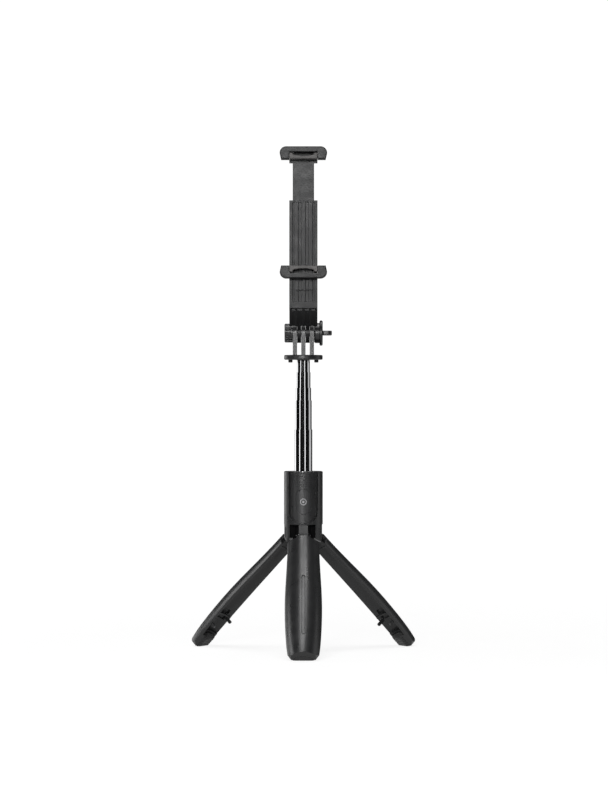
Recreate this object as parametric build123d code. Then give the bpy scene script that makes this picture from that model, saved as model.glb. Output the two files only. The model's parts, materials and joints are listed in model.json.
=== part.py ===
from build123d import *
import math
import os

# Three-legged selfie stick. Millimetres.
# Frame: origin on the pole's axis at floor level, +Z up the pole, +X to the right,
# -Y is the front, where the first leg, the remote and the phone's screen face.
# Built at rest: legs open, pole partly drawn, phone clamp upright.

# ---- driving dimensions -------------------------------------------------------------
# Legs. A leg is drawn folded down beside the pole and then swung open.
LEG_OPEN_ANGLE = 45.0
LEG_HINGE_Z = 82.2
LEG_HINGE_R = 9.2          # hinge line's distance from the pole's axis
LEG_LENGTH = 111.25        # hinge to the end of the foot
LEG_WALL = 2.0
LEG_GAP = 0.15             # half the gap between neighbouring folded legs
LEG_TOP_W = 5.6            # the shell's full width starts this far below the hinge
LEG_NECK_W = 3.8           # and its narrow neck this far
LEG_NECK_HALF = 4.2
LEG_TIP_HALF = 8.4         # the tip's corners are cut off down to this half-width
LEG_OUTER = [(2.0, 13.75), (20.0, 14.1), (38.0, 15.0), (55.0, 15.85), (72.0, 16.1),
             (90.0, 15.6), (103.0, 14.7), (114.0, 13.0)]   # (distance down, radius at mid-width)
LEG_CENTRE = (1.2, 2.5)    # centre of the outer curve in front of the pole's axis, top and end
TAB_WIDTH = 6.5
INLAY_WIDTH = 1.4
INLAY_LENGTH = 53.0
FOOT_TOP_W = 102.5
FOOT_R = 9.3
FOOT_INNER = 3.2
FOOT_CHAMFER = 1.0
PIN_R = 0.75
PIN_RUNNING = 0.05

# Collar: the handle's head that holds the pole, the legs and the remote.
COLLAR_R = 13.75
COLLAR_WALL = 1.85
COLLAR_TOP = 127.4
CAP_THICK = 2.0
HUB_RING_R = 7.55
HUB_BOTTOM = 76.5
FLANGE_Z = 89.2
CORE_BOTTOM = 90.15
SLOT_TOP_Z = 89.8
PILLAR_BOTTOM = 77.2
PILLAR_TURN = 56.6         # degrees from a leg's mid-line, to the right
LEG_SLOT = (-9.8, 8.6)     # the opening over a leg, left and right of its mid-line

# Pole: a fixed tube and five sliding tubes, counted from the thickest.
TUBE_STEP = 0.88           # from one diameter to the next
TUBE_WALL = 0.24
FIXED_TUBE_D = 13.60
FIXED_TUBE_BOTTOM = 7.0
TUBE_LENGTH = 115.0
EXPOSED = [29.7, 20.7, 8.9, 11.0, 8.3]   # length drawn out at rest, stage by stage
BUSH_LENGTH = 8.0
BUSH_RUNNING = 0.03
LIP_HEIGHT = 0.8

# Head: turning plate with three prongs, on top of the pole.
PLATE_R = 13.65
PLATE_THICK = 3.3
PLATE_Z = 206.5
BUMPER_X = 9.2
TILT_Z = 225.4
PRONG = 3.0                # thickness of each prong and of each space between them
PRONG_R = 7.25
BOLT_R = 2.5
BOLT_RUNNING = 0.05

# Phone clamp, in front of the tilt axis so that it folds flat behind the pole.
ARM_WIDTH = 19.8
ARM_BACK_Y = -16.0
ARM_BACK_WALL = 1.8
CAVITY_DEPTH = 4.0
COVER_THICK = 2.4
ARM_BOTTOM = 242.0
ARM_TOP = 318.0
JAW_WIDTH = 33.2
JAW_HEIGHT = 8.8
JAW_DEPTH = 12.0
JAW_BAND = 3.6
JAW_EDGE = 0.7
WINDOW_WIDTH = 20.0
LOWER_JAW_TOP = 271.9
PHONE_GAP = 74.5
SLIDER_WIDTH = 15.0

# Remote control in the collar's front.
REMOTE_WIDTH = 16.9
REMOTE_BOTTOM = 90.9
REMOTE_TOP = 127.2
REMOTE_BACK_Y = -7.6
RECESS_GAP = 0.2           # between the remote and the sides of its recess
RECESS_RIM = 1.8           # the lowered rim around the recess: width and depth
RECESS_RIM_DEPTH = 0.75
BUTTON_WIDTH = 10.5
BUTTON_HEIGHT = 17.6
BUTTON_Z = 106.0
GRIP_LINES = 7             # fine grip grooves above the button
GRIP_BOTTOM = 116.6
GRIP_PITCH = 1.45
GRIP_HALF = 6.2

# ---- worked out ---------------------------------------------------------------------
TUBE_R = [(FIXED_TUBE_D - TUBE_STEP * k) / 2 for k in range(6)]
TUBE_TOP = [COLLAR_TOP - 0.2]
for drawn in EXPOSED:
    TUBE_TOP.append(TUBE_TOP[-1] + drawn)
COVER_Y = ARM_BACK_Y - ARM_BACK_WALL - CAVITY_DEPTH      # cover's back face
FRONT_Y = COVER_Y - COVER_THICK                          # cover's front face
UPPER_JAW_Z = LOWER_JAW_TOP + PHONE_GAP
LOWER_JAW_Z = LOWER_JAW_TOP - JAW_HEIGHT
CORE_R = COLLAR_R - COLLAR_WALL - 0.05
LEG_AZIMUTHS = {"front": 0.0, "right": 120.0, "left": 240.0}

parts = {}


# ---- helpers ------------------------------------------------------------------------
def tube(outer, inner, z0, z1):
    """A plain tube on the pole's axis."""
    ring = Circle(outer) - Circle(inner)
    return extrude(Plane.XY.offset(z0) * ring, z1 - z0)


def disc(radius, z0, z1):
    return extrude(Plane.XY.offset(z0) * Circle(radius), z1 - z0)


def slab(x0, x1, y0, y1, z0, z1):
    """A block between two corners."""
    block = Box(x1 - x0, y1 - y0, z1 - z0)
    return Pos((x0 + x1) / 2, (y0 + y1) / 2, (z0 + z1) / 2) * block


def side_plate(points, x0, x1):
    """A plate cut to a (y, z) outline and laid between two x positions."""
    outline = Plane.YZ.offset(x0) * make_face(Polyline(*points, close=True))
    return extrude(outline, x1 - x0)


def rod_x(radius, x0, x1, y=0.0, z=TILT_Z):
    """A round rod along X."""
    return Pos((x0 + x1) / 2, y, z) * Rot(0, 90, 0) * Cylinder(radius, x1 - x0)


def rod_y(radius, y0, y1, x, z):
    """A round rod along Y."""
    return Pos(x, (y0 + y1) / 2, z) * Rot(90, 0, 0) * Cylinder(radius, y1 - y0)


def front_block(width, height, radius, z_mid, y0, y1):
    """A block with rounded corners seen from the front."""
    outline = RectangleRounded(width, height, radius)
    return extrude(Plane((0, y1, z_mid), x_dir=(1, 0, 0), z_dir=(0, -1, 0)) * outline, y1 - y0)


def around(shape, step=120.0):
    """The same solid at the three leg directions."""
    return [Rot(0, 0, step * k) * shape for k in range(3)]


# ---- legs ---------------------------------------------------------------------------
def leg_sector():
    """The third of the circle that one folded leg may fill, with its side gaps."""
    apex = LEG_GAP / math.sin(math.radians(60))
    reach = 40.0
    side_x = reach * math.sin(math.radians(60))
    side_y = -apex - reach * math.cos(math.radians(60))
    outline = make_face(Polyline((0, -apex), (-side_x, side_y), (side_x, side_y), close=True))
    return extrude(Plane.XY.offset(LEG_HINGE_Z - LEG_LENGTH - 5) * outline, LEG_LENGTH + 10)


def leg_centre_y(down):
    """Where the outer curve's centre line runs, at a distance down the leg."""
    top, end = LEG_CENTRE
    return -(top + (end - top) * down / LEG_LENGTH)


def leg_skin(inset):
    """A leg's turned outer form, or the same form a wall's thickness inside it."""
    knots = [(-(radius - inset), LEG_HINGE_Z - down) for down, radius in LEG_OUTER]
    (first, last) = (LEG_OUTER[0][0], LEG_OUTER[-1][0])
    top = (leg_centre_y(first), LEG_HINGE_Z - first)
    end = (leg_centre_y(last), LEG_HINGE_Z - last)
    profile = make_face([
        Spline(*knots),
        Line(knots[-1], end),
        Line(end, top),
        Line(top, knots[0]),
    ])
    centre = Axis((0, top[0], top[1]), (0, end[0] - top[0], end[1] - top[1]))
    return revolve(Plane.YZ * profile, centre, 360)


def leg_outline():
    """The leg from the front: a narrow neck up to the hinge tab, and cut corners at the end."""
    neck = LEG_HINGE_Z - LEG_NECK_W
    full = LEG_HINGE_Z - LEG_TOP_W
    end = LEG_HINGE_Z - LEG_LENGTH
    right = [(LEG_NECK_HALF, neck), (LEG_NECK_HALF + 1.0, full), (20, full),
             (20, end + 14.0), (LEG_TIP_HALF, end)]
    left = [(-x, z) for x, z in reversed(right)]
    return extrude(Plane.XZ.offset(-5) * make_face(Polyline(*right, *left, close=True)), 30)


def leg_tab():
    """The hinge tab: (out from the hinge line, down from it).

    Its front is upright once the leg is open, and its 45-degree back is the stop.
    """
    points = [(6.8, -3.4), (2.6, 0.8), (2.6, 3.0), (3.6, 4.4), (3.6, 13.0),
              (2.7, 13.0), (-1.45, 4.5), (-1.45, -0.67), (3.93, -6.05), (4.6, -5.6)]
    outline = [(-LEG_HINGE_R - out, LEG_HINGE_Z - down) for out, down in points]
    tab = side_plate(outline, -TAB_WIDTH / 2, TAB_WIDTH / 2)
    return tab - rod_x(PIN_R + PIN_RUNNING, -5, 5, -LEG_HINGE_R, LEG_HINGE_Z)


def leg_rib(down, thick, inner):
    """A cross rib in the trough."""
    low, high = LEG_HINGE_Z - down - thick, LEG_HINGE_Z - down
    rib = (leg_skin(1.0) & slab(-20, 20, -20, 0, low, high)) - disc(inner, low, high)
    return rib & leg_sector()


def leg_latch(down, side):
    """A hook that reaches into the next leg when the legs are folded together."""
    thick = 2.2
    top = LEG_HINGE_Z - down
    points = [(-9.0, top), (-3.6, top), (-3.1, top - 0.5), (-3.1, top - thick + 0.5),
              (-3.6, top - thick), (-9.0, top - thick)]
    x0, x1 = sorted((side * 9.0, side * 10.2))
    return side_plate(points, x0, x1)


def latch_pocket(down, side):
    """A pocket in the trough wall beside a latch, where the next leg's hook is caught."""
    x0, x1 = sorted((side * 2.2, side * 9.4))
    high = LEG_HINGE_Z - down
    return slab(x0, x1, -20, 0, high - 3.8, high) & leg_skin(0.7)


def inlay_outline(width, length):
    """The long narrow groove down a leg's outside."""
    middle = LEG_HINGE_Z - 69.8
    return front_block(width, length, width / 2 - 0.01, middle, -20.0, -10.0)


def folded_leg_shell():
    sector = leg_sector()
    shell = (leg_skin(0.0) - leg_skin(LEG_WALL)) & sector
    # the trough closes into a thick end that carries the foot
    end = disc(14.0, LEG_HINGE_Z - LEG_LENGTH - 1, LEG_HINGE_Z - FOOT_TOP_W + 2.0)
    end -= disc(FOOT_R + 0.05, LEG_HINGE_Z - LEG_LENGTH - 1, LEG_HINGE_Z - FOOT_TOP_W + 2.0)
    shell += (end & leg_skin(0.3)) & sector
    shell &= leg_outline()
    shell += leg_tab()
    shell += leg_rib(84.4, 1.2, 11.6)
    shell += leg_rib(14.0, 1.2, 11.2)
    for side in (-1, 1):
        for down in (80.4, 85.8):
            shell -= latch_pocket(down, side)
    shell += leg_latch(88.3, 1)
    shell += leg_latch(85.8, -1)
    shell -= inlay_outline(INLAY_WIDTH + 1.0, INLAY_LENGTH + 1.0) - leg_skin(0.9)
    return shell


def folded_foot():
    top = LEG_HINGE_Z - FOOT_TOP_W
    end = LEG_HINGE_Z - LEG_LENGTH
    foot = disc(FOOT_R, end, top) & leg_sector()
    foot &= slab(-20, 20, -20, -FOOT_INNER, end - 1, top + 1)
    run = FOOT_CHAMFER
    corner = [(-FOOT_INNER + 1, end - 1), (-FOOT_INNER - run - 1, end - 1),
              (-FOOT_INNER + 1, end + run + 1)]
    return foot - side_plate(corner, -20, 20)


def folded_inlay():
    strip = inlay_outline(INLAY_WIDTH, INLAY_LENGTH) & leg_skin(0.15)
    return strip - leg_skin(0.88)


def swing_open(shape):
    hinge = Pos(0, -LEG_HINGE_R, LEG_HINGE_Z)
    return hinge * Rot(-LEG_OPEN_ANGLE, 0, 0) * hinge.inverse() * shape


def build_legs():
    pieces = {"shell": folded_leg_shell(), "foot": folded_foot(), "inlay": folded_inlay()}
    for side, azimuth in LEG_AZIMUTHS.items():
        for piece, shape in pieces.items():
            parts[f"leg_{side}_{piece}"] = Rot(0, 0, azimuth) * swing_open(shape)


# ---- handle -------------------------------------------------------------------------
def build_hub():
    """The spider below the collar: a ring on the pole, lugs for the leg pins, webs between."""
    bore = TUBE_R[0] + 0.05
    hub = tube(HUB_RING_R, bore, HUB_BOTTOM, FLANGE_Z)
    hub += tube(CORE_R, bore, FLANGE_Z, CORE_BOTTOM - 0.05)
    for notch in around(slab(-3.5, 3.5, -14, -HUB_RING_R, FLANGE_Z, FLANGE_Z + 1.0)):
        hub -= notch
    hinge_y = -LEG_HINGE_R
    lug = slab(3.45, 5.0, hinge_y, -5.8, LEG_HINGE_Z - 1.7, LEG_HINGE_Z + 1.7)
    lug += rod_x(1.7, 3.45, 5.0, hinge_y, LEG_HINGE_Z)
    lug -= rod_x(PIN_R + 0.01, 3, 6, hinge_y, LEG_HINGE_Z)
    for one in around(lug) + around(mirror(lug, Plane.YZ)):
        hub += one
    web = slab(-1.2, 1.2, 0.1 - CORE_R, -7.2, PILLAR_BOTTOM + 3.0, FLANGE_Z + 0.5)
    for one in around(Rot(0, 0, PILLAR_TURN) * web):
        hub += one
    hub -= disc(bore, HUB_BOTTOM - 1, COLLAR_TOP)
    parts["leg_hub"] = hub
    pin = rod_x(PIN_R, -5.1, 5.1, hinge_y, LEG_HINGE_Z)
    parts["leg_hinge_pins"] = Compound(around(pin))


def remote_pocket(margin):
    """The space that the remote takes in the collar's front."""
    width = REMOTE_WIDTH + 2 * margin
    return slab(-width / 2, width / 2, -20, REMOTE_BACK_Y + margin, REMOTE_BOTTOM - margin, COLLAR_TOP + 1)


def remote_outline(inset, y0, y1):
    """The remote from the front: straight sides and a half-round bottom, cut off at the top."""
    half = REMOTE_WIDTH / 2 - inset
    centre = REMOTE_BOTTOM + REMOTE_WIDTH / 2
    top = REMOTE_TOP - max(inset, 0.0) if inset >= 0 else COLLAR_TOP + 1
    return rod_y(half, y0, y1, 0, centre) + slab(-half, half, y0, y1, centre, top)


def pillar_slot():
    """The opening over a leg, between two pillars."""
    left, right = LEG_SLOT
    return slab(left, right, -20, -5, PILLAR_BOTTOM - 1.0, SLOT_TOP_Z)


def pillar_trim():
    """What is cut from a pillar: its slanted lower end and a shallow panel."""
    under = Pos(0, -12, PILLAR_BOTTOM + 1.0) * Rot(0, 18, 0) * slab(-12, 12, -6, 6, -12, 0)
    return under + slab(-1.4, 1.4, -20, -(COLLAR_R - 0.45), PILLAR_BOTTOM + 3.4, SLOT_TOP_Z - 2.0)


def build_collar():
    bore = TUBE_R[0] + 0.05
    inner = COLLAR_R - COLLAR_WALL
    shell = tube(COLLAR_R, inner, PILLAR_BOTTOM, COLLAR_TOP)
    shell = chamfer(shell.edges().filter_by(GeomType.CIRCLE).group_by(Axis.Z)[-1].sort_by(SortBy.LENGTH)[-1], 0.5)
    for one in around(pillar_slot()):
        shell -= one
    for one in around(Rot(0, 0, PILLAR_TURN) * pillar_trim()):
        shell -= one
    shell -= remote_outline(-RECESS_GAP, -20, -7)
    rebate = remote_outline(-RECESS_RIM, -20, -7) - disc(COLLAR_R - RECESS_RIM_DEPTH, 80, 140)
    shell -= rebate
    parts["collar_shell"] = shell
    core = tube(CORE_R, bore, CORE_BOTTOM, COLLAR_TOP - CAP_THICK - 0.05) - remote_pocket(0.1)
    parts["collar_core"] = core
    cap = tube(CORE_R, bore, COLLAR_TOP - CAP_THICK, COLLAR_TOP) - remote_pocket(0.1)
    parts["collar_top_cap"] = cap


def build_fixed_tube():
    outer = TUBE_R[0]
    inner = outer - TUBE_WALL
    top = TUBE_TOP[0]
    pole = tube(outer, inner, FIXED_TUBE_BOTTOM, top)
    pole += tube(outer, TUBE_R[1] + BUSH_RUNNING + 0.02, top - LIP_HEIGHT, top)
    parts["outer_tube"] = pole
    plug = disc(inner - 0.01, FIXED_TUBE_BOTTOM, FIXED_TUBE_BOTTOM + 4.0)
    plug += disc(outer + 0.5, FIXED_TUBE_BOTTOM - 1.5, FIXED_TUBE_BOTTOM)
    parts["outer_tube_plug"] = plug


# ---- sliding tubes ------------------------------------------------------------------
def build_stage(k):
    """Tube k of five, counted from the thickest, with the spring bush at its foot."""
    outer = TUBE_R[k]
    inner = outer - TUBE_WALL
    top = TUBE_TOP[k]
    bottom = top - TUBE_LENGTH
    pole = tube(outer, inner, bottom, top)
    if k < 5:
        pole += tube(outer, TUBE_R[k + 1] + BUSH_RUNNING + 0.02, top - LIP_HEIGHT, top)
    parts[f"tube_{k}"] = pole
    around_bore = TUBE_R[k - 1] - TUBE_WALL
    bush = tube(around_bore - BUSH_RUNNING, outer + 0.005, bottom + 0.5, bottom + 0.5 + BUSH_LENGTH)
    split = Rot(0, 0, 72 * k) * slab(-0.6, 0.6, 0, 20, bottom, bottom + 2 + BUSH_LENGTH)
    parts[f"tube_{k}_bush"] = bush - split


# ---- head ---------------------------------------------------------------------------
STUB_R = 3.0
STUB_LENGTH = 7.5


def build_pan_joint():
    """The head's stub turns in a bush that closes the thinnest tube."""
    bush_z = PLATE_Z - 0.5
    bush = tube(TUBE_R[5] - TUBE_WALL - 0.01, STUB_R + 0.05, bush_z - 7.0, bush_z)
    bush += tube(TUBE_R[5], STUB_R + 0.05, bush_z, PLATE_Z - 0.1)
    parts["pan_bush"] = bush
    stub_end = PLATE_Z - STUB_LENGTH - 0.1
    parts["pan_washer"] = tube(TUBE_R[5] - TUBE_WALL - 0.3, 1.3, stub_end - 0.6, stub_end)
    screw = disc(2.4, stub_end - 2.2, stub_end - 0.6)
    screw += disc(1.2, stub_end - 0.6, stub_end + 6.0)
    screw -= slab(-0.35, 0.35, -3, 3, stub_end - 2.3, stub_end - 1.5)
    parts["pan_screw"] = screw


def prong_outline(radius, foot_z):
    """A prong's (y, z) face: straight sides and a round top about the tilt axis."""
    return Plane.YZ * make_face([
        Line((-radius, foot_z), (-radius, TILT_Z)),
        ThreePointArc((-radius, TILT_Z), (0, TILT_Z + radius), (radius, TILT_Z)),
        Line((radius, TILT_Z), (radius, foot_z)),
        Line((radius, foot_z), (-radius, foot_z)),
    ])


def build_head():
    plate = disc(PLATE_R, PLATE_Z, PLATE_Z + PLATE_THICK)
    plate = fillet(plate.edges().filter_by(GeomType.CIRCLE), 0.7)
    for x0 in (-2.5 * PRONG, -0.5 * PRONG, 1.5 * PRONG):
        prong = extrude(prong_outline(PRONG_R, PLATE_Z + 1), PRONG)
        plate += Pos(x0, 0, 0) * prong
    plate -= rod_x(BOLT_R + BOLT_RUNNING, -20, 20)
    stub_end = PLATE_Z - STUB_LENGTH - 0.1
    plate += disc(STUB_R, stub_end, PLATE_Z + 1)
    plate -= disc(1.21, stub_end - 1, stub_end + 6.5)
    for side in (-1, 1):
        plate -= Pos(side * BUMPER_X, 0, PLATE_Z) * Cylinder(1.51, 2.4)
    parts["head_base"] = plate
    bumper = disc(1.5, PLATE_Z - 2.0, PLATE_Z + 1.1)
    bumper = fillet(bumper.edges().group_by(Axis.Z)[0], 0.4)
    parts["head_bumpers"] = Compound([Pos(side * BUMPER_X, 0, 0) * bumper for side in (-1, 1)])


NUT_X = -2.5 * PRONG - 0.1
NUT_THICK = 4.0
NUT_FLATS = 8.0
CAP_R = 6.7


def hexagon_x(flats, x0, x1):
    """A hexagonal block along X."""
    sketch = RegularPolygon(flats / 2, 6, major_radius=False)
    return extrude(Plane((x0, 0, TILT_Z), x_dir=(0, 1, 0), z_dir=(1, 0, 0)) * sketch, x1 - x0)


def build_nut():
    nut = hexagon_x(NUT_FLATS, NUT_X - NUT_THICK, NUT_X) - rod_x(BOLT_R + BOLT_RUNNING, -20, 0)
    parts["hinge_nut"] = nut
    end_x = -13.4
    cap = rod_x(CAP_R, end_x, NUT_X + 0.05)
    cap = chamfer(cap.edges().filter_by(GeomType.CIRCLE).sort_by(Axis.X)[0], 0.6)
    cap -= hexagon_x(NUT_FLATS + 0.1, NUT_X - NUT_THICK - 0.05, 0)
    cap -= rod_x(BOLT_R + 0.3, end_x + 0.8, 0)
    flutes = 20
    for k in range(flutes):
        turn = 2 * math.pi * k / flutes
        y, z = CAP_R * math.cos(turn), CAP_R * math.sin(turn)
        cap -= rod_x(0.42, end_x - 1, NUT_X - 0.8, y, TILT_Z + z)
    parts["hinge_nut_cap"] = cap


def build_thumbscrew():
    bolt = rod_x(BOLT_R, -12.4, 12.5)
    bolt += hexagon_x(6.4, 8.6, 12.5)
    parts["thumbscrew_bolt"] = bolt
    boss = rod_x(7.15, 7.6, 11.6)
    boss = chamfer(boss.edges().filter_by(GeomType.CIRCLE).sort_by(Axis.X)[0], 0.9)
    flange = rod_x(9.0, 11.4, 13.7)
    flange = fillet(flange.edges().filter_by(GeomType.CIRCLE), 1.0)
    wing = Plane.XY.offset(TILT_Z) * Pos(16.2, 0) * RectangleRounded(8.0, 15.0, 3.0)
    paddle = extrude(wing, 1.6, both=True)
    paddle = fillet(paddle.edges().filter_by(Plane.XY), 0.6)
    knob = boss + flange + paddle
    knob -= hexagon_x(6.42, 8.55, 12.55)
    knob -= rod_x(BOLT_R + 0.01, 7, 9)
    parts["thumbscrew_knob"] = knob


# ---- phone clamp --------------------------------------------------------------------
def polar(radius, angle):
    """A (y, z) place in front of the tilt axis, by distance and angle above level."""
    turn = math.radians(angle)
    return (-radius * math.cos(turn), TILT_Z + radius * math.sin(turn))


NECK_LOW, NECK_HIGH = 26.0, 46.0     # the sector that clears the head at both tilt limits
WALL_X = ARM_WIDTH / 2 - 2.0
SCREW_PLACES = [(side * (ARM_WIDTH / 2 - 1.0), z) for side in (-1, 1) for z in (247.5, 314.5)]


NECK_RIBS = [(-9.9, -8.2), (-5.6, -4.2), (-0.7, 0.7), (4.2, 5.6), (8.2, 9.9)]
NECK_RIB_HEIGHT = 0.7


def neck_rib(x0, x1):
    """A raised rib down the front of the arm's neck."""
    low_y, low_z = polar(11.3, NECK_LOW)
    high_y, high_z = FRONT_Y + 1.9, ARM_BOTTOM - 0.3
    run = math.hypot(high_y - low_y, high_z - low_z)
    out_y = -(high_z - low_z) / run * NECK_RIB_HEIGHT
    out_z = (high_y - low_y) / run * NECK_RIB_HEIGHT
    outline = [(low_y + 0.8, low_z + 1.0), (high_y + 1.0, high_z + 1.0),
               (high_y + out_y, high_z + out_z), (low_y + out_y, low_z + out_z)]
    return side_plate(outline, x0, x1)


def build_clamp_arm():
    back, cover = ARM_BACK_Y, COVER_Y
    cavity_bottom = ARM_BOTTOM + 3.0
    neck = [polar(11.0, NECK_LOW), polar(11.0, NECK_HIGH), (back, ARM_BOTTOM),
            (back, ARM_BOTTOM + 6), (FRONT_Y + 1.2, ARM_BOTTOM + 6), (FRONT_Y + 1.2, ARM_BOTTOM - 0.3)]
    half = ARM_WIDTH / 2
    arm = side_plate(neck, -half, half)
    arm &= slab(-half, half, cover, 0, 0, 400)
    arm += slab(-half, half, cover, back, ARM_BOTTOM, ARM_TOP)
    arm -= slab(-WALL_X, WALL_X, cover - 1, back - ARM_BACK_WALL, cavity_bottom, ARM_TOP + 1)
    for x0 in (-1.5 * PRONG + 0.1, 0.5 * PRONG + 0.1):
        fin = rod_x(7.0, x0, x0 + PRONG - 0.2)
        link = [polar(4.0, NECK_LOW - 40), polar(13.0, NECK_LOW + 2), polar(13.0, NECK_HIGH - 2),
                polar(6.5, NECK_HIGH + 44)]
        fin += side_plate(link, x0, x0 + PRONG - 0.2)
        arm += fin
    arm -= rod_x(BOLT_R + BOLT_RUNNING, -20, 20)
    post_z = cavity_bottom + 5.0
    arm += rod_y(1.1, cover + 0.4, back - 1.0, 0, post_z)
    for x, z in SCREW_PLACES:
        arm -= rod_y(0.65, -40, 0, x, z)
        arm -= rod_y(0.97, back - 1.0, 0, x, z)
    for x0, x1 in NECK_RIBS:
        arm += neck_rib(x0, x1)
    parts["clamp_arm"] = arm


def jaw_block(z0, flip):
    """A jaw: a rounded frame, open on the phone's side, with a window through it."""
    z1 = z0 + JAW_HEIGHT
    outer, phone = (z1, z0) if flip else (z0, z1)
    way = 1 if flip else -1
    half, mouth = JAW_WIDTH / 2, JAW_WIDTH / 2 - 1.0
    bend = phone + way * 4.4
    corner = 4.6
    outline = make_face([
        Line((-mouth, phone), (-half, bend)),
        RadiusArc((-half, bend), (-half + corner, outer), corner * (-1 if flip else 1) * -1),
        Line((-half + corner, outer), (half - corner, outer)),
        RadiusArc((half - corner, outer), (half, bend), corner * (-1 if flip else 1) * -1),
        Line((half, bend), (mouth, phone)),
        Line((mouth, phone), (-mouth, phone)),
    ])
    plane = Plane((0, COVER_Y, 0), x_dir=(1, 0, 0), z_dir=(0, -1, 0))
    block = extrude(plane * outline, JAW_DEPTH)
    block = fillet(block.edges().group_by(Axis.Y)[0], JAW_EDGE)
    window_outer = outer - way * JAW_BAND
    low, high = sorted((window_outer, phone - way * 1))
    cut = slab(-WINDOW_WIDTH / 2, WINDOW_WIDTH / 2, -60, 0, low, high)
    return block - cut


def jaw_pad(z_phone, flip):
    """The soft strip across a jaw's mouth: thin in the middle, with a leg at each end."""
    way = 1 if flip else -1
    half = WINDOW_WIDTH / 2 - 0.05
    face = z_phone
    leg = face + way * 4.4
    arch = face + way * 2.0
    shoulder = face + way * 3.0
    outline = make_face([
        Line((-half, face), (half, face)),
        Line((half, face), (half, leg)),
        Line((half, leg), (half - 2.6, leg)),
        Line((half - 2.6, leg), (half - 2.6, shoulder)),
        ThreePointArc((half - 2.6, shoulder), (0, arch), (-half + 2.6, shoulder)),
        Line((-half + 2.6, shoulder), (-half + 2.6, leg)),
        Line((-half + 2.6, leg), (-half, leg)),
        Line((-half, leg), (-half, face)),
    ])
    plane = Plane((0, FRONT_Y - 0.1, 0), x_dir=(1, 0, 0), z_dir=(0, -1, 0))
    return extrude(plane * outline, JAW_DEPTH - COVER_THICK - 0.3)


def build_clamp_front():
    """The cover over the slider's channel, moulded in one with the lower jaw."""
    half = ARM_WIDTH / 2
    cover = slab(-half, half, FRONT_Y, COVER_Y - 0.02, ARM_BOTTOM + 0.2, ARM_TOP)
    rim = half - 2.3
    cover -= slab(-rim, rim, FRONT_Y - 1, FRONT_Y + 0.8, ARM_BOTTOM + 5, ARM_TOP - 1.2)
    for x in (-5.0, 0.0, 5.0):
        cover += slab(x - 1.5, x + 1.5, FRONT_Y + 0.15, FRONT_Y + 0.9, ARM_BOTTOM + 5, ARM_TOP - 1.2)
    cover += slab(-5.6, 5.6, FRONT_Y - 0.1, FRONT_Y + 0.9, 254.6, 255.2)
    jaw = jaw_block(LOWER_JAW_Z, False)
    jaw &= slab(-30, 30, -60, COVER_Y - 0.02, 0, 400)
    cover += jaw
    for x, z in SCREW_PLACES:
        cover -= rod_y(0.65, COVER_Y - 1.7, 0, x, z)
    parts["clamp_front"] = cover
    parts["lower_jaw_pad"] = jaw_pad(LOWER_JAW_TOP, False)
    screws = []
    for x, z in SCREW_PLACES:
        screw = rod_y(0.6, COVER_Y - 1.5, ARM_BACK_Y - 0.95, x, z)
        screw += rod_y(0.92, ARM_BACK_Y - 0.95, ARM_BACK_Y - 0.1, x, z)
        screws.append(screw)
    parts["clamp_screws"] = Compound(screws)


SLOT_HALF = 2.4
SLIDER_BOTTOM = 265.0
SLOT_TOP = 306.0


def build_slider():
    """The tongue that runs in the arm, slotted for the spring, with the upper jaw on it."""
    y0 = COVER_Y + 0.2
    y1 = ARM_BACK_Y - ARM_BACK_WALL - 0.2
    half = SLIDER_WIDTH / 2
    head_z = UPPER_JAW_Z - 2.0
    slider = slab(-half, half, y0, y1, SLIDER_BOTTOM, head_z + 1)
    slider += slab(-ARM_WIDTH / 2, ARM_WIDTH / 2, y0, y1, head_z, UPPER_JAW_Z + JAW_HEIGHT - 1.2)
    slider -= slab(-SLOT_HALF, SLOT_HALF, y0 - 1, y1 + 1, SLIDER_BOTTOM - 1, SLOT_TOP)
    slider += rod_x(0.7, -SLOT_HALF - 0.5, SLOT_HALF + 0.5, (y0 + y1) / 2, SLOT_TOP - 2.0)
    holes = [(side * 7.0, UPPER_JAW_Z + JAW_HEIGHT - 2.9) for side in (-1, 1)]
    for x, z in holes:
        slider -= rod_y(1.0, y0 - 1, y1 + 1, x, z)
        slider -= rod_y(1.75, y1 - 1.0, y1 + 1, x, z)
    parts["jaw_slider"] = slider
    jaw = jaw_block(UPPER_JAW_Z, True)
    for x, z in holes:
        jaw -= rod_y(0.95, COVER_Y - 4.5, 0, x, z)
    parts["upper_jaw"] = jaw
    parts["upper_jaw_pad"] = jaw_pad(UPPER_JAW_Z, True)
    screws = []
    for x, z in holes:
        screw = rod_y(0.9, COVER_Y - 4.2, y1 - 0.95, x, z)
        screw += rod_y(1.65, y1 - 0.95, y1 - 0.1, x, z)
        screws.append(screw)
    parts["jaw_screws"] = Compound(screws)


def build_spring():
    """The extension spring that pulls the upper jaw down, hooked at both ends."""
    wire, coil_r = 0.25, 1.35
    y = (COVER_Y + ARM_BACK_Y - ARM_BACK_WALL) / 2
    low, high = 255.0, 299.0
    turns = 16
    path = Helix((high - low) / turns, high - low, coil_r, center=(0, y, low))
    start = path @ 0
    section = Plane(origin=start, z_dir=path % 0) * Circle(wire)
    coil = sweep(section, path=path, transition=Transition.ROUND)
    parts["jaw_spring"] = coil


# ---- remote -------------------------------------------------------------------------
def stadium(width, height, y0, y1):
    return front_block(width, height, width / 2 - 0.01, BUTTON_Z, y0, y1)


def remote_body(inset):
    """The remote's outer form, or the same form some way inside it."""
    return remote_outline(inset, -20, REMOTE_BACK_Y - inset) & disc(COLLAR_R - inset, 0, 200)


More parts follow.
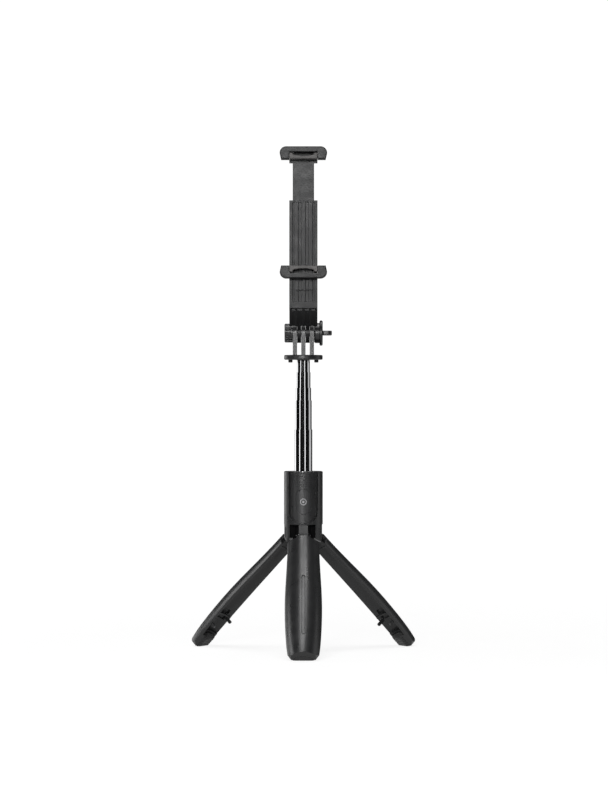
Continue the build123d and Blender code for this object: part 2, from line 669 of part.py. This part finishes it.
def build_remote():
    wall = 1.0
    split_y = REMOTE_BACK_Y - 1.3
    body = remote_body(0.0) - remote_body(wall)
    front = body & slab(-20, 20, -20, split_y, 0, 200)
    front -= stadium(BUTTON_WIDTH + 0.3, BUTTON_HEIGHT + 0.3, -20, -9)
    for k in range(GRIP_LINES):
        low = GRIP_BOTTOM + k * GRIP_PITCH
        groove = tube(COLLAR_R + 1, COLLAR_R - 0.2, low, low + 0.5)
        front -= groove & slab(-GRIP_HALF, GRIP_HALF, -20, -9, low - 1, low + 1)
    parts["remote_front_shell"] = front
    parts["remote_back_shell"] = body & slab(-20, 20, split_y + 0.02, 0, 0, 200)
    board = remote_outline(wall + 0.3, -9.6, -8.8)
    parts["remote_board"] = board & slab(-20, 20, -20, 0, 0, 114.8)
    parts["remote_switch"] = slab(-1.5, 1.5, -11.0, -9.62, BUTTON_Z - 1.5, BUTTON_Z + 1.5)
    cell_z = 120.3
    parts["remote_battery"] = rod_y(5.0, -11.3, -8.85, 0, cell_z)
    parts["battery_contact"] = slab(-4.5, 4.5, -8.8, -8.65, cell_z - 5.2, cell_z + 4.5)
    button = stadium(BUTTON_WIDTH, BUTTON_HEIGHT, -20, -9) & tube(COLLAR_R + 0.25, COLLAR_R - 1.7, 0, 200)
    flange = stadium(BUTTON_WIDTH + 1.6, BUTTON_HEIGHT + 1.6, -20, -9)
    button += flange & tube(COLLAR_R - wall - 0.05, COLLAR_R - 1.7, 0, 200)
    button += rod_y(1.2, -12.4, -11.55, 0, BUTTON_Z)
    parts["shutter_button"] = button


# ---- write --------------------------------------------------------------------------
def write_parts():
    os.makedirs("parts", exist_ok=True)
    for name, shape in parts.items():
        export_step(shape, f"parts/{name}.step")


build_legs()
build_hub()
build_collar()
build_fixed_tube()
for stage in range(1, 6):
    build_stage(stage)
build_pan_joint()
build_head()
build_nut()
build_thumbscrew()
build_clamp_arm()
build_clamp_front()
build_slider()
build_spring()
build_remote()
write_parts()
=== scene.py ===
import json
import math

import bmesh
import bpy
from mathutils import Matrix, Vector


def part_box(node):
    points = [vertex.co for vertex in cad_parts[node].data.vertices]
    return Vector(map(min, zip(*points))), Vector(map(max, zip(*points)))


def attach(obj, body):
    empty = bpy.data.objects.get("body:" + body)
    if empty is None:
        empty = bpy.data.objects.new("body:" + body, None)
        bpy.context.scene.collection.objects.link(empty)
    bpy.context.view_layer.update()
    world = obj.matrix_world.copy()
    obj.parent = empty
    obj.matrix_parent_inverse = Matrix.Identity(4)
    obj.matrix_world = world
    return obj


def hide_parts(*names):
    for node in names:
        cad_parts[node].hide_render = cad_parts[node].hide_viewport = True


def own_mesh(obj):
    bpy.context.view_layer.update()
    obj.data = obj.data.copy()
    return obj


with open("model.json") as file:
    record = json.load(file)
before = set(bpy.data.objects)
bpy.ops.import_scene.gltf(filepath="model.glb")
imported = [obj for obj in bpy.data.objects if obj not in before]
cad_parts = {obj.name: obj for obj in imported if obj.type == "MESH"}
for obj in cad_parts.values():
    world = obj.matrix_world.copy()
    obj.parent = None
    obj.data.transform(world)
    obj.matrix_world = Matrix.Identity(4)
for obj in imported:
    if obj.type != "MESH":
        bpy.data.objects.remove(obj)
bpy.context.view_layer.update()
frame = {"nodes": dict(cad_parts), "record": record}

# Looks for the three-legged selfie stick. Everything is in metres, in the CAD frame:
# origin on the pole's axis at floor level, +Z up, -Y towards the camera.

MM = 0.001
NODES = frame["nodes"]


# ---- material helpers ---------------------------------------------------------------
def new_material(name):
    """An empty node material with its Principled shader."""
    material = bpy.data.materials.new(name)
    material.use_nodes = True
    tree = material.node_tree
    shader = tree.nodes["Principled BSDF"]
    return material, tree, shader


def node(tree, kind, **settings):
    """One shader node with its settings."""
    made = tree.nodes.new(kind)
    for key, value in settings.items():
        setattr(made, key, value)
    return made


def noise(tree, scale, detail=3.0, stretch=(1.0, 1.0, 1.0), rough=0.55):
    """A noise value in object space; scale is in blobs per metre."""
    place = node(tree, "ShaderNodeTexCoord")
    mapping = node(tree, "ShaderNodeMapping")
    mapping.inputs["Scale"].default_value = stretch
    made = node(tree, "ShaderNodeTexNoise")
    made.inputs["Scale"].default_value = scale
    made.inputs["Detail"].default_value = detail
    made.inputs["Roughness"].default_value = rough
    tree.links.new(place.outputs["Object"], mapping.inputs["Vector"])
    tree.links.new(mapping.outputs["Vector"], made.inputs["Vector"])
    return made.outputs["Fac"]


def spread(tree, value, low, high, start=0.3, end=0.7):
    """The value, remapped from start..end to low..high."""
    made = node(tree, "ShaderNodeMapRange")
    made.inputs["From Min"].default_value = start
    made.inputs["From Max"].default_value = end
    made.inputs["To Min"].default_value = low
    made.inputs["To Max"].default_value = high
    tree.links.new(value, made.inputs["Value"])
    return made.outputs["Result"]


def scaled(colour, factor):
    """A colour made lighter or darker."""
    return tuple(channel * factor for channel in colour)


def tint(tree, value, dark, light):
    """A colour between two, by a 0..1 value."""
    made = node(tree, "ShaderNodeMix", data_type="RGBA")
    made.inputs["A"].default_value = (*dark, 1.0)
    made.inputs["B"].default_value = (*light, 1.0)
    tree.links.new(value, made.inputs["Factor"])
    return made.outputs["Result"]


def edge_wear_and_highlight_mask(tree, radius, strength):
    """0 on open surfaces, rising to 1 along edges, where handling rubs and where a painted
    highlight lies.
    """
    soft = node(tree, "ShaderNodeBevel", samples=4)
    soft.inputs["Radius"].default_value = radius
    flat = node(tree, "ShaderNodeNewGeometry")
    dot = node(tree, "ShaderNodeVectorMath", operation="DOT_PRODUCT")
    tree.links.new(soft.outputs["Normal"], dot.inputs[0])
    tree.links.new(flat.outputs["Normal"], dot.inputs[1])
    return spread(tree, dot.outputs["Value"], strength, 0.0, 0.80, 0.995)


def bump(tree, shader, height, depth, soft_edge=0.0):
    """Surface relief of the given depth in metres, over softened edges."""
    made = node(tree, "ShaderNodeBump")
    made.inputs["Distance"].default_value = depth
    made.inputs["Strength"].default_value = 1.0
    tree.links.new(height, made.inputs["Height"])
    if soft_edge:
        soft = node(tree, "ShaderNodeBevel", samples=4)
        soft.inputs["Radius"].default_value = soft_edge
        tree.links.new(soft.outputs["Normal"], made.inputs["Normal"])
    tree.links.new(made.outputs["Normal"], shader.inputs["Normal"])


MOTTLE_LIFT = 1.35          # how much lighter the pale patches of a plastic are
EDGE_WEAR_AND_HIGHLIGHT_LIFT = 2.6             # and its edges, lightened as rubbed wear and as a painted highlight
EDGE_WEAR_AND_HIGHLIGHT_RADIUS = 0.3 * MM
EDGE_WEAR_AND_HIGHLIGHT_STRENGTH = 0.55


def moulded_plastic(name, colour, rough, grain=2600.0, depth=0.01 * MM,
                    soft_edge=0.35 * MM, shine=0.5):
    """Black injection-moulded plastic: spark-eroded grain, faint mottling, edges lightened as
    rubbed wear and as a painted highlight.
    """
    material, tree, shader = new_material(name)
    mottle = spread(tree, noise(tree, 90.0, 4.0), 0.0, 1.0)
    base = tint(tree, mottle, colour, scaled(colour, MOTTLE_LIFT))
    # lighter edges: partly rubbed wear, partly a painted highlight along the edges
    worn_and_lit_edges = node(tree, "ShaderNodeMix", data_type="RGBA")
    worn_and_lit_edges.inputs["B"].default_value = (*scaled(colour, EDGE_WEAR_AND_HIGHLIGHT_LIFT), 1.0)
    tree.links.new(base, worn_and_lit_edges.inputs["A"])
    tree.links.new(edge_wear_and_highlight_mask(tree, EDGE_WEAR_AND_HIGHLIGHT_RADIUS, EDGE_WEAR_AND_HIGHLIGHT_STRENGTH), worn_and_lit_edges.inputs["Factor"])
    tree.links.new(worn_and_lit_edges.outputs["Result"], shader.inputs["Base Color"])
    patches = noise(tree, 160.0, 5.0)
    tree.links.new(spread(tree, patches, rough - 0.05, rough + 0.06), shader.inputs["Roughness"])
    bump(tree, shader, noise(tree, grain, 2.0), depth, soft_edge)
    shader.inputs["Specular IOR Level"].default_value = shine
    return material


def dark_chrome(name, colour, rough):
    """Polished dark plating with fine drawn lines along the tube."""
    material, tree, shader = new_material(name)
    shader.inputs["Metallic"].default_value = 1.0
    lines = noise(tree, 900.0, 3.0, stretch=(1.0, 1.0, 0.02))
    haze = noise(tree, 60.0, 4.0)
    clouds = spread(tree, haze, 0.0, 1.0)
    tree.links.new(tint(tree, clouds, colour, scaled(colour, 1.18)), shader.inputs["Base Color"])
    tree.links.new(spread(tree, lines, rough - 0.01, rough + 0.015), shader.inputs["Roughness"])
    bump(tree, shader, haze, 0.0004 * MM)
    return material


def plain_metal(name, colour, rough):
    """Bare or plated steel with a fine machined grain."""
    material, tree, shader = new_material(name)
    shader.inputs["Metallic"].default_value = 1.0
    grain = noise(tree, 1400.0, 4.0, stretch=(1.0, 1.0, 0.2))
    stain = spread(tree, noise(tree, 220.0, 5.0), 0.0, 1.0)
    tree.links.new(tint(tree, stain, scaled(colour, 0.8), colour), shader.inputs["Base Color"])
    tree.links.new(spread(tree, grain, rough - 0.06, rough + 0.08), shader.inputs["Roughness"])
    bump(tree, shader, grain, 0.004 * MM, 0.2 * MM)
    return material


def soft_rubber(name, colour, rough, grain, depth):
    """Matt rubber or silicone: dusty mottling over a fine pebbled skin."""
    material, tree, shader = new_material(name)
    dust = spread(tree, noise(tree, 300.0, 6.0), 0.0, 1.0)
    tree.links.new(tint(tree, dust, colour, scaled(colour, 1.7)), shader.inputs["Base Color"])
    tree.links.new(spread(tree, noise(tree, 500.0, 3.0), rough - 0.05, rough + 0.07),
                   shader.inputs["Roughness"])
    shader.inputs["Sheen Weight"].default_value = 0.15
    shader.inputs["Sheen Roughness"].default_value = 0.5
    bump(tree, shader, noise(tree, grain, 2.0), depth, 0.4 * MM)
    return material


def printed_mark(name, colour):
    """Pale pad-printed ink with slightly starved patches."""
    material, tree, shader = new_material(name)
    thin = spread(tree, noise(tree, 1500.0, 5.0), 0.0, 1.0)
    tree.links.new(tint(tree, thin, scaled(colour, 0.75), colour), shader.inputs["Base Color"])
    tree.links.new(spread(tree, thin, 0.45, 0.6), shader.inputs["Roughness"])
    bump(tree, shader, thin, 0.004 * MM)
    return material


MATERIALS = {
    "body": moulded_plastic("black_moulded_plastic", (0.012, 0.0122, 0.0127), 0.31),
    "leg": moulded_plastic("satin_leg_plastic", (0.013, 0.0132, 0.0137), 0.31,
                           grain=3200.0, depth=0.006 * MM),
    "clamp": moulded_plastic("clamp_plastic", (0.008, 0.0082, 0.0086), 0.36, grain=2200.0,
                             soft_edge=0.6 * MM, shine=0.22),
    # inner: near-black matt plastic for the legs' hub, painted shade so the voids between the
    # collar's pillars stay black
    "inner": moulded_plastic("painted_shade_hub_plastic", (0.0025, 0.0025, 0.0027), 0.7, shine=0.1),
    "trim": moulded_plastic("gloss_trim", (0.012, 0.0123, 0.013), 0.34,
                            grain=5000.0, depth=0.002 * MM),
    "pole": dark_chrome("black_chrome", (0.56, 0.565, 0.575), 0.055),
    "steel": plain_metal("zinc_steel", (0.42, 0.42, 0.43), 0.34),
    "cell": plain_metal("nickel_cell", (0.62, 0.61, 0.60), 0.28),
    "bronze": plain_metal("phosphor_bronze", (0.52, 0.33, 0.17), 0.30),
    "foot": soft_rubber("foot_rubber", (0.004, 0.004, 0.0043), 0.62, 1800.0, 0.03 * MM),
    "pad": soft_rubber("silicone_pad", (0.040, 0.037, 0.036), 0.50, 1500.0, 0.02 * MM),
    "board": moulded_plastic("solder_mask", (0.012, 0.10, 0.035), 0.30, grain=1200.0),
    "mark": printed_mark("printed_mark", (0.38, 0.38, 0.39)),
}

# The look of each of the record's material slots.
SLOT_LOOK = {
    "black_plastic": "body",
    "trim": "trim",
    "black_chrome": "pole",
    "rubber_black": "foot",
    "silicone_pad": "pad",
    "steel": "steel",
    "bronze": "bronze",
    "board": "board",
    "cell": "cell",
}


def look_of(name, slot):
    """Which material a CAD node takes."""
    if name.startswith("leg_") and name.endswith("_shell"):
        return "leg"
    # the hub is seen only through those voids, so it takes the painted-shade plastic
    if name == "leg_hub":
        return "inner"
    if name.startswith(("clamp_", "upper_jaw", "jaw_slider")) and slot == "black_plastic":
        return "clamp"
    return SLOT_LOOK[slot]


def dress_cad_nodes():
    """Every carried-over CAD node gets its procedural material."""
    for entry in frame["record"]["subparts"]:
        name = entry["node"]
        mesh = NODES[name].data
        mesh.materials.clear()
        mesh.materials.append(MATERIALS[look_of(name, entry["material_slot"])])


# ---- soft pieces --------------------------------------------------------------------
PAD_VOXEL = 0.28 * MM
PAD_ROUNDS = 3              # smoothing rounds
PAD_PITCH = 1.5 * MM
PAD_GROOVE = PAD_PITCH * 0.5
PAD_RIB = 0.22 * MM         # depth of the grooves between the ribs
PAD_RIB_REACH = 1.2 * MM    # the ribs fade out this far below the gripping face
PAD_CROWN = 0.15 * MM
FOOT_VOXEL = 0.32 * MM
FOOT_ROUNDS = 2
TREAD_PITCH = 1.9 * MM
TREAD_GROOVE = TREAD_PITCH * 0.45
TREAD_DEPTH = 0.35 * MM
TREAD_FACING = 0.6          # the tread is cut where the rubber faces the floor's side this much
BUMPER_VOXEL = 0.15 * MM
BUMPER_ROUNDS = 2


def soft_copy(name, source, voxel, rounds):
    """A CAD solid's form made again as a closed soft skin, with its edges rounded off."""
    copy = bpy.data.objects.new(name, NODES[source].data.copy())
    bpy.context.scene.collection.objects.link(copy)
    copy.data.materials.clear()
    skin = copy.modifiers.new("skin", "REMESH")
    skin.mode = "VOXEL"
    skin.voxel_size = voxel
    relax = copy.modifiers.new("relax", "SMOOTH")
    relax.factor = 0.5
    relax.iterations = rounds
    graph = bpy.context.evaluated_depsgraph_get()
    mesh = bpy.data.meshes.new_from_object(copy.evaluated_get(graph))
    copy.modifiers.clear()
    copy.data = mesh
    for face in mesh.polygons:
        face.use_smooth = True
    return copy


def finish_soft(piece, look, body, node_name):
    """A remade piece gets its look and its body, and takes the CAD node's place."""
    piece.data.materials.clear()
    piece.data.materials.append(MATERIALS[look])
    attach(piece, body)
    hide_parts(node_name)


def groove_depth(place, pitch, width, depth):
    """Depth of a row of round-bottomed grooves at a place along the row."""
    across = (place / pitch) % 1.0 - 0.5
    reach = width / pitch / 2
    if abs(across) > reach:
        return 0.0
    return depth * math.cos(math.pi / 2 * across / reach)


def jaw_pad(name, node_name, body, mouth):
    """The silicone strip in a jaw's mouth: ribbed where it grips, and slightly crowned."""
    piece = soft_copy(name, node_name, PAD_VOXEL, PAD_ROUNDS)
    low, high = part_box(node_name)
    face = high.z if mouth > 0 else low.z
    middle = (low.y + high.y) / 2
    for vertex in piece.data.vertices:
        near = 1.0 - abs(vertex.co.z - face) / PAD_RIB_REACH
        if near <= 0.0:
            continue
        crown = PAD_CROWN * abs((vertex.co.y - middle) / (high.y - low.y) * 2) ** 2
        rib = groove_depth(vertex.co.x, PAD_PITCH, PAD_GROOVE, PAD_RIB)
        vertex.co.z -= mouth * near * (rib + crown)
    finish_soft(piece, "pad", body, node_name)


def leg_line(side):
    """An opened leg's hinge, and the direction from it down the leg."""
    joints = frame["record"]["behaviour"]["joints"]
    place = next(Vector(joint["pos_m"]) for joint in joints if joint["name"] == f"leg_{side}_hinge")
    outward = Vector((place.x, place.y, 0.0)).normalized()
    down = (outward - Vector((0.0, 0.0, 1.0))).normalized()
    return place, down


def rubber_foot(side):
    """A leg's rubber foot, with tread grooves on the side towards the floor and the pole."""
    node_name = f"leg_{side}_foot"
    piece = soft_copy(f"foot_{side}", node_name, FOOT_VOXEL, FOOT_ROUNDS)
    hinge, down = leg_line(side)
    inward = Vector((-down.x, -down.y, down.z)).normalized()
    for vertex in piece.data.vertices:
        along = (vertex.co - hinge).dot(down)
        if vertex.normal.dot(inward) > TREAD_FACING:
            vertex.co -= inward * groove_depth(along, TREAD_PITCH, TREAD_GROOVE, TREAD_DEPTH)
    finish_soft(piece, "foot", f"leg_{side}", node_name)


def bumpers():
    """The two rubber bumpers under the head's plate."""
    piece = soft_copy("bumpers", "head_bumpers", BUMPER_VOXEL, BUMPER_ROUNDS)
    finish_soft(piece, "foot", "head", "head_bumpers")


def spring_coil():
    """The clamp's spring as a fixed copy of the CAD coil; the real one draws together towards its
    lower hook as the jaws close.
    """
    coil = bpy.data.objects.new("spring_coil", NODES["jaw_spring"].data.copy())
    bpy.context.scene.collection.objects.link(coil)
    finish_soft(coil, "steel", "clamp", "jaw_spring")
    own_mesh(coil)


# ---- printed mark -------------------------------------------------------------------
MARK_RING = 2.35 * MM
MARK_LINE = 0.55 * MM
MARK_DOT = 0.8 * MM
MARK_PROUD = 0.02 * MM
RING_STEPS = 48
DOT_STEPS = 24


def on_button(x, z, radius):
    """A point on the button's round face."""
    return Vector((x, -math.sqrt(radius * radius - x * x), z))


def ring_faces(mesh, centre_z, inner, outer, radius, steps):
    """A flat ring, or a disc if its inner radius is nothing, laid on the button."""
    rows = []
    for k in range(steps):
        turn = 2 * math.pi * k / steps
        places = [on_button(r * math.cos(turn), centre_z + r * math.sin(turn), radius)
                  for r in (inner, outer) if r > 0.0]
        rows.append([mesh.verts.new(place) for place in places])
    if inner > 0.0:
        for one, two in zip(rows, rows[1:] + rows[:1]):
            mesh.faces.new((one[0], two[0], two[1], one[1]))
    else:
        mesh.faces.new([row[0] for row in reversed(rows)])


def button_mark():
    """A generic ring and dot printed on the shutter button."""
    low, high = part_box("shutter_button")
    radius = -low.y + MARK_PROUD
    mesh = bmesh.new()
    centre = (low.z + high.z) / 2
    ring_faces(mesh, centre, MARK_RING - MARK_LINE, MARK_RING, radius, RING_STEPS)
    ring_faces(mesh, centre, 0.0, MARK_DOT, radius, DOT_STEPS)
    bmesh.ops.recalc_face_normals(mesh, faces=mesh.faces)
    data = bpy.data.meshes.new("button_mark")
    mesh.to_mesh(data)
    mesh.free()
    piece = bpy.data.objects.new("button_mark", data)
    bpy.context.scene.collection.objects.link(piece)
    data.materials.append(MATERIALS["mark"])
    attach(piece, "shutter")


# ---- stage --------------------------------------------------------------------------
PAPER_NEAR = 0.86           # the paper's glow around the object
PAPER_FAR = 1.0             # and towards the horizon
PAPER_NEAR_REFLECTED = 0.55     # the same, as the object's own surfaces reflect it
PAPER_FAR_REFLECTED = 0.04
AIR_GLOW = 0.006            # the surroundings, as the object's surfaces see them
AIM = Vector((0.0, 0.0, 0.18))      # what the lights point at: the pole's middle


def backdrop_material():
    """Pale paper that glows, a little less near the object, so that it stays even."""
    material, tree, shader = new_material("paper_backdrop")
    place = node(tree, "ShaderNodeTexCoord")
    distance = node(tree, "ShaderNodeVectorMath", operation="LENGTH")
    tree.links.new(place.outputs["Object"], distance.inputs[0])
    away = distance.outputs["Value"]
    glow = spread(tree, away, PAPER_NEAR, PAPER_FAR, 0.2, 1.6)
    reflected = spread(tree, away, PAPER_NEAR_REFLECTED, PAPER_FAR_REFLECTED, 0.3, 1.4)
    seen = node(tree, "ShaderNodeLightPath")
    choice = node(tree, "ShaderNodeMix")
    tree.links.new(seen.outputs["Is Camera Ray"], choice.inputs["Factor"])
    tree.links.new(reflected, choice.inputs["A"])
    tree.links.new(glow, choice.inputs["B"])
    tree.links.new(choice.outputs["Result"], shader.inputs["Emission Strength"])
    fibre = spread(tree, noise(tree, 40.0, 5.0), 0.0, 1.0)
    paper = tint(tree, fibre, (0.14, 0.14, 0.14), (0.15, 0.15, 0.15))
    tree.links.new(paper, shader.inputs["Base Color"])
    shader.inputs["Emission Color"].default_value = (1.0, 1.0, 1.0, 1.0)
    shader.inputs["Roughness"].default_value = 0.9
    shader.inputs["Specular IOR Level"].default_value = 0.1
    return material


def backdrop():
    """A pale sheet that lies on the floor and sweeps up far behind the object."""
    half_width, front, bend, radius, height = 4.0, -2.6, 2.2, 1.0, 4.5
    profile = [(front, 0.0), (bend, 0.0)]
    steps = 16
    for k in range(1, steps + 1):
        turn = math.pi / 2 * k / steps
        profile.append((bend + radius * math.sin(turn), radius * (1 - math.cos(turn))))
    profile.append((bend + radius, height))
    mesh = bmesh.new()
    rows = [[mesh.verts.new((x, y, z)) for x in (-half_width, half_width)] for y, z in profile]
    for low, high in zip(rows, rows[1:]):
        mesh.faces.new((low[0], low[1], high[1], high[0]))
    data = bpy.data.meshes.new("backdrop")
    mesh.to_mesh(data)
    mesh.free()
    for face in data.polygons:
        face.use_smooth = True
    sheet = bpy.data.objects.new("backdrop", data)
    bpy.context.scene.collection.objects.link(sheet)
    data.materials.append(backdrop_material())
    sheet.visible_diffuse = False


def softbox(name, bearing, height, reach, size, glow):
    """A rectangular light of even glow, facing the pole's middle.

    Its bearing is in degrees from the camera's, and its reach is its distance from the pole.
    """
    turn = math.radians(bearing)
    place = Vector((reach * math.sin(turn), -reach * math.cos(turn), height))
    data = bpy.data.lights.new(name, "AREA")
    data.shape = "RECTANGLE"
    data.size, data.size_y = size
    data.energy = glow * math.pi * size[0] * size[1]
    light = bpy.data.objects.new(name, data)
    bpy.context.scene.collection.objects.link(light)
    light.location = place
    light.rotation_euler = (AIM - place).to_track_quat("-Z", "Y").to_euler()
    return light


def studio():
    """Narrow strips that draw the lines on the pole, and broad soft lights for the plastic."""
    softbox("strip_left", -49.0, 0.3, 1.5, (0.26, 1.6), 2.0)
    softbox("strip_right", 22.0, 0.3, 1.5, (0.30, 1.6), 1.5)
    card = softbox("card_right", 98.0, 0.3, 1.5, (0.9, 1.6), 0.75)
    card.visible_diffuse = False
    softbox("rim_left", -133.0, 0.12, 1.8, (1.2, 0.5), 1.7)
    softbox("side_left", -100.0, 0.72, 1.6, (1.1, 0.45), 3.2)
    softbox("front", -8.0, 0.56, 2.0, (0.7, 0.34), 30.0)
    fill = softbox("front_fill", 4.0, 0.25, 2.6, (2.4, 0.40), 5.0)
    fill.visible_glossy = False
    softbox("overhead", -20.0, 1.9, 0.15, (0.8, 1.8), 6.0)


def air():
    """White to the camera, and nearly black to the object."""
    world = bpy.data.worlds.new("studio_air")
    world.use_nodes = True
    tree = world.node_tree
    background = tree.nodes["Background"]
    seen = node(tree, "ShaderNodeLightPath")
    level = spread(tree, seen.outputs["Is Camera Ray"], AIR_GLOW, 1.0, 0.0, 1.0)
    background.inputs["Color"].default_value = (1.0, 1.0, 1.0, 1.0)
    tree.links.new(level, background.inputs["Strength"])
    bpy.context.scene.world = world


CAMERA_PLACE = (0.00043, -2.113, 0.1747)
FRAME_HEIGHT = 0.5744       # what the picture's long side takes in at the pole's axis
SENSOR = 36.0


def camera():
    """A level camera at half the object's height, as in the picture."""
    data = bpy.data.cameras.new("camera")
    data.sensor_width = SENSOR
    data.lens = SENSOR * -CAMERA_PLACE[1] / FRAME_HEIGHT
    data.clip_start = 0.05
    data.clip_end = 30.0
    eye = bpy.data.objects.new("camera", data)
    bpy.context.scene.collection.objects.link(eye)
    eye.location = CAMERA_PLACE
    eye.rotation_euler = (math.pi / 2, 0.0, 0.0)
    bpy.context.scene.camera = eye
    bpy.context.scene.view_settings.view_transform = "Standard"


dress_cad_nodes()
jaw_pad("pad_upper", "upper_jaw_pad", "upper_jaw_slide", -1)
jaw_pad("pad_lower", "lower_jaw_pad", "clamp", 1)
for leg_side in ("front", "right", "left"):
    rubber_foot(leg_side)
bumpers()
spring_coil()
button_mark()
backdrop()
studio()
air()
camera()
